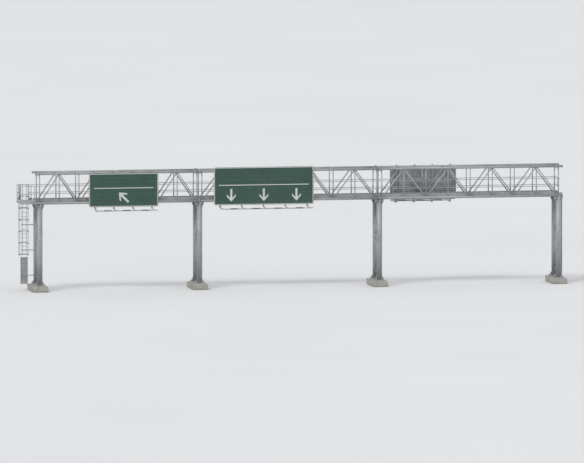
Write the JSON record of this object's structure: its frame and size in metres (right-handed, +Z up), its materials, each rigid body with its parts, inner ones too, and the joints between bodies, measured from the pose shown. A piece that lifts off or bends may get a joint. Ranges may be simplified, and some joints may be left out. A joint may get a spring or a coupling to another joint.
{
  "type": "overhead sign gantry",
  "caption": "Overhead sign gantry: a tubular box truss on trestle legs over a slip road and a dual carriageway, with direction signs, sign lights, walkway and caged ladder.",
  "frame": {"origin": "on the ground, under the middle of the gantry's bounding box", "axes": "+X along the beam from the ladder end to the supply end, +Y along the road away from the front signs, +Z up"},
  "size_m": [39.46, 4.7946, 8.7],
  "materials": {
    "concrete": "board-marked cast concrete, weathered, chamfered edges",
    "galvanised_steel": "hot-dip galvanised steel, weathered to a dull mid grey",
    "walkway_grating": "galvanised open-bar grating and kick plates",
    "sign_face": "weathered dark green retroreflective sheeting with white borders, rules and plain arrows on aluminium planks, bare aluminium backs",
    "sign_frame_aluminium": "mill-finish aluminium rails on galvanised posts",
    "lamp_housing": "grey painted housings with clear lenses on galvanised arms",
    "trunking": "pre-galvanised sheet trunking",
    "cabinet_paint": "grey stoved paint, slightly chalked"
  },
  "bodies": {
    "root": {"plinth_1": "concrete", "plinth_2": "concrete", "plinth_3": "concrete", "plinth_4": "concrete", "leg_1": "galvanised_steel", "leg_2": "galvanised_steel", "leg_3": "galvanised_steel", "leg_4": "galvanised_steel", "bay_1_front_lattice": "galvanised_steel", "bay_1_rear_lattice": "galvanised_steel", "bay_1_roof_bracing": "galvanised_steel", "bay_1_floor_frame": "galvanised_steel", "bay_2_front_lattice": "galvanised_steel", "bay_2_rear_lattice": "galvanised_steel", "bay_2_roof_bracing": "galvanised_steel", "bay_2_floor_frame": "galvanised_steel", "bay_3_front_lattice": "galvanised_steel", "bay_3_rear_lattice": "galvanised_steel", "bay_3_roof_bracing": "galvanised_steel", "bay_3_floor_frame": "galvanised_steel", "walkway": "walkway_grating", "bay_1_guard_rails": "galvanised_steel", "bay_2_guard_rails": "galvanised_steel", "bay_3_guard_rails": "galvanised_steel", "knee_braces": "galvanised_steel", "landing": "walkway_grating", "landing_guard_rail": "galvanised_steel", "ladder_stiles": "galvanised_steel", "ladder_rungs": "galvanised_steel", "ladder_brackets": "galvanised_steel", "ladder_cage_hoops": "galvanised_steel", "ladder_cage_straps": "galvanised_steel", "leg_bracing": "galvanised_steel", "ladder_guard_plate": "galvanised_steel", "sign_1_panel": "sign_face", "sign_1_frame": "sign_frame_aluminium", "sign_1_lighting": "lamp_housing", "sign_2_panel": "sign_face", "sign_2_frame": "sign_frame_aluminium", "sign_2_lighting": "lamp_housing", "sign_3_panel": "sign_face", "sign_3_frame": "sign_frame_aluminium", "sign_3_lighting": "lamp_housing", "cable_trunking": "trunking", "isolator_cabinet": "cabinet_paint"}
  },
  "joints": []
}
